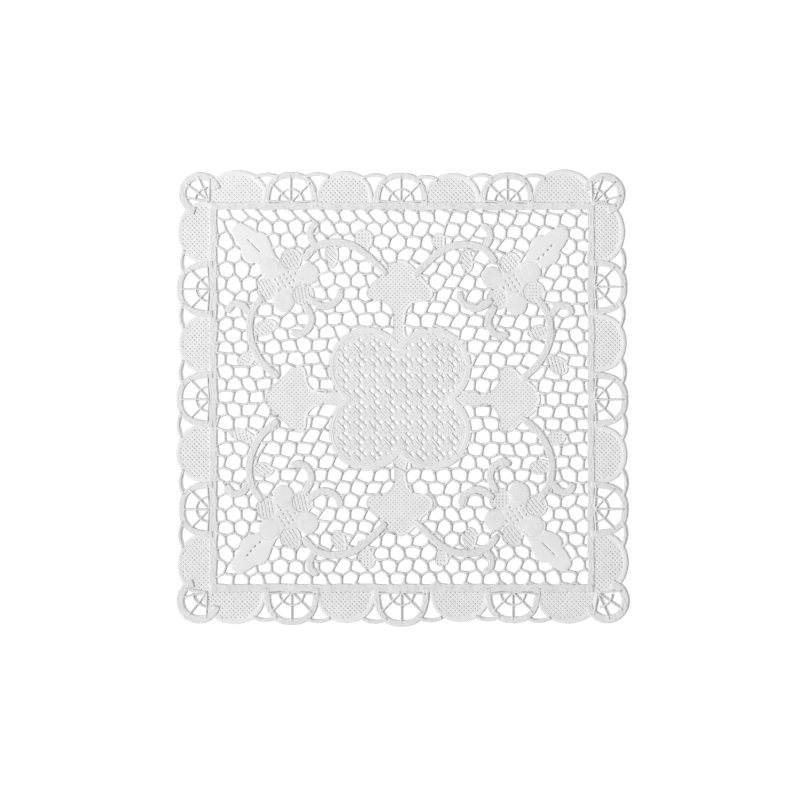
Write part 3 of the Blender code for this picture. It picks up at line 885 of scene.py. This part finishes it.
scallop = {
    "rim": 2.9,                 # plain cloth along its edge
    "rise": 0.28,               # of the rim above the thinner cloth
    "ridge": 1.15,
    "peak": (0.025, 7.0),       # how much it is pointed, and over what half width
    "pitch": 2.12,              # of the pinholes
    "pinhole": 0.3,
    "stretch": 0.24,
    "top": 0.4,
    "cell": 0.53,
    "reach": 28.5,              # from its middle to the edge of its grid
}


def addScallops(work, chosen):
    power = border["shoulders"]
    point, pointHalf = scallop["peak"]
    crown = rimmedCrown(scallop["top"], scallop["rim"], scallop["ridge"], scallop["rise"])
    for side in chosen:
        base = sideBase(side)
        for across, half, reach, worked in archSizes(side):
            if not worked:
                continue
            middle = turned((across, base), side["turn"])

            def outline(x, y, middle=middle, half=half, height=reach - base, turn=-side["turn"]):
                local = turned(np.column_stack([x - middle[0], y - middle[1]]), turn)
                aside, upward = np.abs(local).T
                peak = (1 + point * np.clip(1 - aside / pointHalf, -1, 1)) / (1 + point)
                size = (aside / half) ** power + (upward / height / peak) ** power
                return np.maximum((size ** (1 / power) - 1) * min(half, height), -local[:, 1])

            holes = latticeHoles(outline, scallop["pitch"], scallop["pinhole"], scallop["rim"], -45.0,
                                 middle, scallop["stretch"])
            addPatch(work, outline, holes, crown, middle, scallop["reach"], scallop["cell"], -45.0)


def wovenCrown(top, rim):
    def crown(x, y, fromEdge, fromHole):
        return top * roundedRise(fromEdge, rim, 0.5) * roundedRise(fromHole, 0.6, 0.76)
    return crown


def rimmedCrown(top, rim, ridge, rise):
    # a raised plain rim with rows of stitches along it, then thinner cloth
    def crown(x, y, fromEdge, fromHole):
        inRim = np.clip((rim - fromEdge) / 0.9, 0, 1)
        rows = 0.045 * np.cos(fromEdge / ridge * 2 * math.pi) * inRim
        body = roundedRise(fromEdge, 0.9, 0.45) * roundedRise(fromHole, 0.6, 0.76)
        return (top + rise * inRim + rows) * body
    return crown


def addMedallion(work):
    middle = doily["middle"]
    repeat, eyeAt = medallion["repeat"], medallion["eyeAt"]
    length, width = medallion["eye"]

    def hearts(x, y, offset):
        column = np.round((x - middle[0] - offset[0]) / repeat)
        row = np.round((y - middle[1] - offset[1]) / repeat)
        heartX = middle[0] + offset[0] + column * repeat
        heartY = middle[1] + offset[1] + row * repeat
        plain = -medallionDistance(heartX, heartY) < medallion["border"]
        return column, row, x - heartX, y - heartY, plain

    def holes(x, y):
        nearest = np.full(np.shape(x), 9.0)
        half = repeat / 2
        for seed, offset in enumerate(((eyeAt, 0), (-eyeAt, 0), (0, eyeAt), (0, -eyeAt))):
            column, row, awayX, awayY, plain = hearts(x, y, (offset[0] + half, offset[1] + half))
            awayX = awayX - 0.3 * jitter(column, row, seed)
            awayY = awayY - 0.3 * jitter(column, row, seed + 0.5)
            size = 1 + 0.2 * jitter(column, row, seed + 7.3)
            lean = medallion["eyeTurn"] + 16 * jitter(column, row, seed + 2.2)
            cosine, sine = np.cos(np.radians(lean)), np.sin(np.radians(lean))
            along = (awayX * cosine + awayY * sine) / length
            aside = (awayY * cosine - awayX * sine) / width
            eye = (np.hypot(along, aside) - size) * width
            nearest = np.minimum(nearest, np.where(plain, 9.0, eye))
        for offset in medallion["dots"]:
            column, row, awayX, awayY, plain = hearts(x, y, offset)
            awayX = awayX - 0.2 * jitter(column, row, offset[0] + 4)
            dot = np.hypot(awayX, awayY) - medallion["pinhole"]
            nearest = np.minimum(nearest, np.where(plain, 9.0, dot))
        return nearest

    crown = rimmedCrown(medallion["top"], medallion["border"], medallion["ridge"], medallion["rise"])
    reach = medallion["reach"]
    addCloth(work, medallionDistance, holes, crown, middle - reach, middle + reach, medallion["cell"])
    addStitches(work)


def addStitches(work):
    # raised threads beside the eyes, all running down to the right, and fainter ones between
    repeat = medallion["repeat"]
    halfLength, halfWidth = medallion["stitch"]
    across = aimAt(45)
    rise = np.array([0.4, 0.85, 1.0, 0.85, 0.4])
    places = []
    for column in range(-6, 7):
        for row in range(-6, 7):
            heart = doily["middle"] + (np.array([column, row]) + 0.5) * repeat
            places += [(heart + across * away, 1.0) for away in medallion["stitchAt"]]
            places.append((heart + (0.5 * repeat, -0.5 * repeat) + across * 2.6, 0.6))
    for index, (spot, size) in enumerate(places):
        half = halfLength * (0.6 + 0.4 * size) * (1 + 0.18 * jitter(index, spot[1], 2.6))
        run = half * aimAt(-46 + 5 * jitter(index, spot[0], 4.4))
        bend = 0.22 * jitter(index, spot[0], 6.1) * across
        path = spot + np.array([-run, -0.5 * run + bend, 1.3 * bend, 0.5 * run + bend, run])
        if -medallionDistance(path[:, 0], path[:, 1]).max() < medallion["border"] - 2.6:
            continue
        profile = roundProfile(halfWidth * size, medallion["top"] + medallion["stitchRise"], 6)
        sweep(work, path, profile, 0, rise, 0.74 + 0.26 * rise)


def addTulips(work):
    pitch = tulip["pitch"]
    crown = rimmedCrown(tulip["top"], tulip["rim"], tulip["ridge"], tulip["rise"])
    for loop in tulipLoops:
        outline = partial(outlineDistance, corners=loop)
        holes = latticeHoles(outline, pitch, tulip["pinhole"], tulip["rim"] + 0.3, -45.0, (0.0, 0.0),
                             tulip["stretch"])
        flat = turned(loop, 45.0)
        low = np.floor(flat.min(axis=0) / pitch - 1) * pitch
        addCloth(work, outline, holes, crown, low, flat.max(axis=0) + 1, tulip["cell"], -45.0)


def flowerCrown(quadrant):
    def crown(x, y, fromEdge, fromHole):
        # each petal is a low cushion, so a crease runs between neighbours
        swell = roundedRise(-discDistance(x, y, quadrant["flower"], flower["disc"]), 4.0) * 0.85
        for place, radius, worked in quadrant["discs"]:
            rise = roundedRise(-discDistance(x, y, place, radius), 3.2)
            swell = np.maximum(swell, rise * (0.8 if worked else 1.0))
        body = roundedRise(fromEdge, 0.9, 0.5) * roundedRise(fromHole, 1.2, 0.6)
        return flower["top"] * (0.7 + 0.3 * swell) * body
    return crown


def addFlower(work, quadrant):
    outline = partial(flowerDistance, quadrant=quadrant)
    heart, discs = quadrant["flower"], quadrant["discs"]
    slant, cell, pitch = flower["slant"], flower["cell"], flower["pitch"]

    def middleDistance(x, y):
        petals = [-discDistance(x, y, place, radius) for place, radius, _ in discs]
        return np.max(petals + [discDistance(x, y, heart, flower["disc"] + 0.4)], axis=0)

    eyes = latticeHoles(middleDistance, flower["eyePitch"], flower["eye"], 0.8, slant, heart,
                        flower["eyeStretch"])
    openPetals = [disc for disc in discs if disc[2]]

    def holes(x, y):
        middles = [discDistance(x, y, place, radius - flower["rim"]) for place, radius, _ in openPetals]
        return np.min(middles + [eyes(x, y)], axis=0)

    origin = turned([heart], -slant)[0]
    reach = flower["reach"]
    addCloth(work, outline, holes, flowerCrown(quadrant), origin - reach, origin + reach, cell, slant)

    # the open middle of each worked petal, a little under its rim
    crown = wovenCrown(flower["openTop"], 0.5)
    for (place, radius, _), kind, run in zip(openPetals, quadrant["petals"], quadrant["runs"]):
        petal = partial(discDistance, middle=place, radius=radius - flower["rim"] + 0.5)
        if kind == "slits":
            own = slitHoles(petal, pitch, flower["slit"], 0.7, run, place)
        else:
            dot = flower["dot"] * (flower["eyeShare"] if kind == "eyes" else 1)
            own = latticeHoles(petal, pitch, dot, 0.9, run, place, flower["dotStretch"])
        addPatch(work, petal, own, crown, place, flower["openReach"], pitch / 4, run)


def addLeaf(work, quadrant, loop):
    heart = quadrant["flower"]
    aim = quadrant["outward"] / math.sqrt(2)
    side = aim * (-1, 1)
    length, width = leaf["eye"]

    def outline(x, y):
        return np.maximum(outlineDistance(x, y, loop), -flowerDistance(x, y, quadrant) - leaf["overlap"])

    def eyeDistance(x, y, outward, aside):
        place = heart + aim * outward + side * aside
        along = (x - place[0]) * aim[0] + (y - place[1]) * aim[1]
        across = (x - place[0]) * side[0] + (y - place[1]) * side[1]
        return (np.hypot(along / length, across / width) - 1) * width

    def holes(x, y):
        if quadrant["leaf"] == "eyes":
            return np.min([eyeDistance(x, y, *eye) for eye in leaf["eyes"]], axis=0)
        slits = [heart + np.outer(ends, aim) for ends in leaf["slits"]]
        return np.min([pathDistance(x, y, slit, leaf["slitHalf"]) for slit in slits], axis=0)

    def crown(x, y, fromEdge, fromHole):
        body = roundedRise(fromEdge, 6.0, 0.76) * roundedRise(fromHole, 1.4, 0.66)
        return leaf["top"] * roundedRise(fromEdge, 0.9, 0.5) * body

    turn = math.degrees(math.atan2(aim[1], aim[0]))
    flat = turned(loop, -turn)
    addCloth(work, outline, holes, crown, flat.min(axis=0) - 1, flat.max(axis=0) + 1, leaf["cell"], turn)


def addScrolls(work):
    profile = ridgedProfile(scroll["half"], scroll["top"], 3, scroll["groove"])
    for path in scrollPaths:
        widths = tapered(len(path), 3, 0.62)
        sweep(work, path, profile, 0, widths, tapered(len(path), 2, 0.7))


def addBuds(work):
    pitch = bud["pitch"]
    crown = rimmedCrown(bud["top"], bud["rim"], bud["ridge"], bud["rise"])
    for loop, (_, _, _, _, worked, run) in zip(budLoops, buds):
        outline = partial(outlineDistance, corners=loop)
        heart = loop.mean(axis=0)
        if worked == "slits":
            holes = slitHoles(outline, pitch, bud["slit"], bud["rim"] + 0.1, run, heart)
        else:
            holes = latticeHoles(outline, pitch, bud["dot"], bud["rim"] + 0.2, run, heart, bud["dotStretch"])
        addPatch(work, outline, holes, crown, heart, bud["reach"], pitch / 4, run)


finish = {
    "cotton": (0.71, 0.71, 0.71),
    "fibre": 2600.0,            # fibres are about 0.4 mm apart
    "fibreShare": 0.35,         # of the relief, beside the threads
    "blotch": 45.0,
    "patch": (0.955, 1.02),     # brightness of the darkest and the palest blotch
    "thread": (0.93, 1.03),     # painted shade: brightness of the hollows between threads, and of their crowns
    "rough": (0.78, 0.95),
    "sheen": 0.15,
    "streak": (1.5, 0.5),       # the size of a band's streaks, and how much slower they change along it
}


def setInputs(tree, node, inputs):
    # each input is linked to an output, or set to a value
    for name, value in inputs.items():
        if isinstance(value, bpy.types.NodeSocket):
            tree.links.new(value, node.inputs[name])
        else:
            node.inputs[name].default_value = value


def addNode(tree, kind, inputs, output, operation=None):
    node = tree.nodes.new("ShaderNode" + kind)
    if operation:
        node.operation = operation
    setInputs(tree, node, inputs)
    return node.outputs[output]


def mathNode(tree, operation, *values):
    return addNode(tree, "Math", dict(enumerate(values)), "Value", operation)


def rangeNode(tree, value, start, end):
    inputs = {"Value": value, "From Min": start[0], "From Max": start[1], "To Min": end[0], "To Max": end[1]}
    return addNode(tree, "MapRange", inputs, "Result")


def noiseNode(tree, place, scale, detail):
    return addNode(tree, "TexNoise", {"Vector": place, "Scale": scale, "Detail": detail}, "Fac")


def makeFibreGroup():
    group = bpy.data.node_groups.new("cottonFibre", "ShaderNodeTree")
    for name, kind in (("Cotton", "Color"), ("Thread", "Float"), ("Depth", "Float")):
        group.interface.new_socket(name, in_out="INPUT", socket_type="NodeSocket" + kind)
    for name, kind in (("Color", "Color"), ("Roughness", "Float"), ("Normal", "Vector")):
        group.interface.new_socket(name, in_out="OUTPUT", socket_type="NodeSocket" + kind)
    given = group.nodes.new("NodeGroupInput").outputs
    place = addNode(group, "TexCoord", {}, "Object")
    fibre = noiseNode(group, place, finish["fibre"], 2.0)
    blotch = noiseNode(group, place, finish["blotch"], 3.0)
    # painted shade: the colour is darker where the thread relief is low, in the hollows between threads, and
    # the blotches vary the tone at random
    paintedShadeAndBlotch = mathNode(group, "MULTIPLY", rangeNode(group, given["Thread"], (0.0, 1.0), finish["thread"]),
                     rangeNode(group, blotch, (0.3, 0.7), finish["patch"]))
    # fibres ride on the thread pattern
    relief = mathNode(group, "MULTIPLY_ADD", fibre, finish["fibreShare"], given["Thread"])
    bump = {"Strength": 1.0, "Distance": given["Depth"], "Height": relief}
    setInputs(group, group.nodes.new("NodeGroupOutput"), {
        "Color": addNode(group, "VectorMath", {0: given["Cotton"], "Scale": paintedShadeAndBlotch}, "Vector", "SCALE"),
        "Roughness": rangeNode(group, fibre, (0.0, 1.0), finish["rough"]),
        "Normal": addNode(group, "Bump", bump, "Normal"),
    })
    return group


def measureNode(tree, name):
    node = tree.nodes.new("ShaderNodeAttribute")
    node.attribute_name = name
    return node.outputs["Fac"]


def ripples(tree, value, period):
    # 0 to 1 and back over each period of a length
    wave = mathNode(tree, "SINE", mathNode(tree, "MULTIPLY", value, 2 * math.pi / (period * mm)))
    return mathNode(tree, "MULTIPLY_ADD", wave, 0.5, 0.5)


def slantRipples(tree, angle, period):
    # ripples along a direction on the flat
    inputs = {0: addNode(tree, "TexCoord", {}, "Object"), 1: (*aimAt(angle), 0)}
    return ripples(tree, addNode(tree, "VectorMath", inputs, "Value", "DOT_PRODUCT"), period)


def twistThread(tree):
    return ripples(tree, mathNode(tree, "ADD", measureNode(tree, "along"), measureNode(tree, "across")), 0.7)


def streakThread(tree):
    # blotches across a band, drawn out along it
    size, stretch = finish["streak"]
    slower = mathNode(tree, "MULTIPLY", measureNode(tree, "along"), stretch)
    place = addNode(tree, "CombineXYZ", {"X": slower, "Y": measureNode(tree, "across")}, "Vector")
    return rangeNode(tree, noiseNode(tree, place, 1 / (size * mm), 2.0), (0.3, 0.7), (0.0, 1.0))


def wovenThread(tree):
    return mathNode(tree, "MAXIMUM", slantRipples(tree, 45, 1.06), slantRipples(tree, -45, 1.06))


def medallionThread(tree):
    rows = ripples(tree, measureNode(tree, "across"), 1.5)
    return mathNode(tree, "MULTIPLY", slantRipples(tree, 45, 0.74), rows)


# each cotton: its name, thread pattern, the depth of that, and how bright it is
cottons = {
    "cord": ("twistedCord", twistThread, 0.12, 1.0),
    "band": ("bandThreads", streakThread, 0.26, 0.91),
    "woven": ("wovenCloth", wovenThread, 0.16, 0.99),
    "medallion": ("medallionCloth", medallionThread, 0.16, 1.0),
    "satin": ("satinStitch", partial(slantRipples, angle=32, period=0.55), 0.12, 1.03),
    "leaf": ("leafSatin", partial(slantRipples, angle=52, period=1.3), 0.04, 0.97),
}


def makeCotton(group, name, thread, depth, tone):
    material = bpy.data.materials.new(name)
    material.use_nodes = True
    tree = material.node_tree
    fibres = tree.nodes.new("ShaderNodeGroup")
    fibres.node_tree = group
    tinted = [part * tone for part in finish["cotton"]] + [1.0]
    setInputs(tree, fibres, {"Cotton": tinted, "Depth": depth * mm, "Thread": thread(tree)})
    setInputs(tree, tree.nodes["Principled BSDF"], {
        "Base Color": fibres.outputs["Color"],
        "Roughness": fibres.outputs["Roughness"],
        "Normal": fibres.outputs["Normal"],
        "Specular IOR Level": 0.25,
        "Sheen Weight": finish["sheen"],
        "Sheen Roughness": 0.5,
    })
    return material


fibreGroup = makeFibreGroup()
materials = {key: makeCotton(fibreGroup, *cotton) for key, cotton in cottons.items()}


def addGround(work):
    addNet(work)
    addFrame(work)
    for side in sides:
        addSide(work, side)
    for corner in corners:
        addCorner(work, corner)


def addFlowers(work):
    for quadrant in quadrants:
        addFlower(work, quadrant)


def addLeaves(work):
    for quadrant, loop in zip(quadrants, leafLoops):
        addLeaf(work, quadrant, loop)


laceGround = makePiece("laceGround", addGround, "cord", "band")
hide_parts("doily")
scallopCloth = makePiece("scallopCloth", partial(addScallops, chosen=sides[0::2]), "woven")
sideScallopCloth = makePiece("sideScallopCloth", partial(addScallops, chosen=sides[1::2]), "woven")
medallionCloth = makePiece("medallionCloth", addMedallion, "medallion")
tulipCloth = makePiece("tulipCloth", addTulips, "woven")
flowerCloth = makePiece("flowerCloth", addFlowers, "satin")
leafCloth = makePiece("leafCloth", addLeaves, "leaf")
scrollBands = makePiece("scrollBands", addScrolls, "band")
budCloth = makePiece("budCloth", addBuds, "woven")


studio = {
    "floorSize": 3.0,
    "floorWhite": (0.93, 0.93, 0.93, 1.0),
    "sky": 0.44,
    "window": 3.9,              # watts of a large soft light beyond the upper left corner
    "windowAt": (-0.4, 0.4, 0.9),
    "windowSize": 0.45,
    "sun": 2.5,
    "sunHeight": 39.0,          # degrees above the floor
    "sunFrom": 203.0,           # degrees counterclockwise from the right
    "sunSoftness": 8.0,
    "viewWidth": 533.3,         # what the picture's width shows, at the floor
    "viewMiddle": (-1.33, -0.67),
    "lens": 135.0,
}


def addFloor():
    bpy.ops.mesh.primitive_plane_add(size=studio["floorSize"], location=(0, 0, -0.0001))
    floor = bpy.context.object
    floor.name = "floor"
    bpy.ops.object.transform_apply(location=True, rotation=False, scale=False)
    paint = bpy.data.materials.new("paleFloor")
    paint.use_nodes = True
    setInputs(paint.node_tree, paint.node_tree.nodes["Principled BSDF"], {
        "Base Color": studio["floorWhite"], "Roughness": 0.9, "Specular IOR Level": 0.1})
    floor.data.materials.append(paint)


def addLight():
    world = bpy.data.worlds.new("paleRoom")
    bpy.context.scene.world = world
    world.use_nodes = True
    setInputs(world.node_tree, world.node_tree.nodes["Background"], {
        "Color": (1, 1, 1, 1), "Strength": studio["sky"]})
    bpy.ops.object.light_add(type="SUN", location=(-0.6, -0.5, 1.0))
    sun = bpy.context.object
    sun.name = "keyLight"
    sun.data.energy = studio["sun"]
    sun.data.angle = math.radians(studio["sunSoftness"])
    sun.rotation_euler = (math.radians(90 - studio["sunHeight"]), 0,
                          math.radians(studio["sunFrom"] + 90))
    bpy.ops.object.light_add(type="AREA", location=studio["windowAt"])
    window = bpy.context.object
    window.name = "softLight"
    window.data.energy = studio["window"]
    window.data.size = studio["windowSize"]
    window.rotation_euler = (-window.location).to_track_quat("-Z", "Y").to_euler()


def addCamera():
    lens = bpy.data.cameras.new("above")
    lens.lens = studio["lens"]
    lens.sensor_width = 36.0
    camera = bpy.data.objects.new("above", lens)
    bpy.context.scene.collection.objects.link(camera)
    height = studio["viewWidth"] * mm * studio["lens"] / 36.0
    camera.location = (studio["viewMiddle"][0] * mm, studio["viewMiddle"][1] * mm, height)
    bpy.context.scene.camera = camera


addFloor()
addLight()
addCamera()
look = bpy.context.scene.view_settings
look.view_transform = "Standard"
look.look = "None"
look.exposure = 0.0
look.gamma = 1.0
print("floor, light and camera placed")
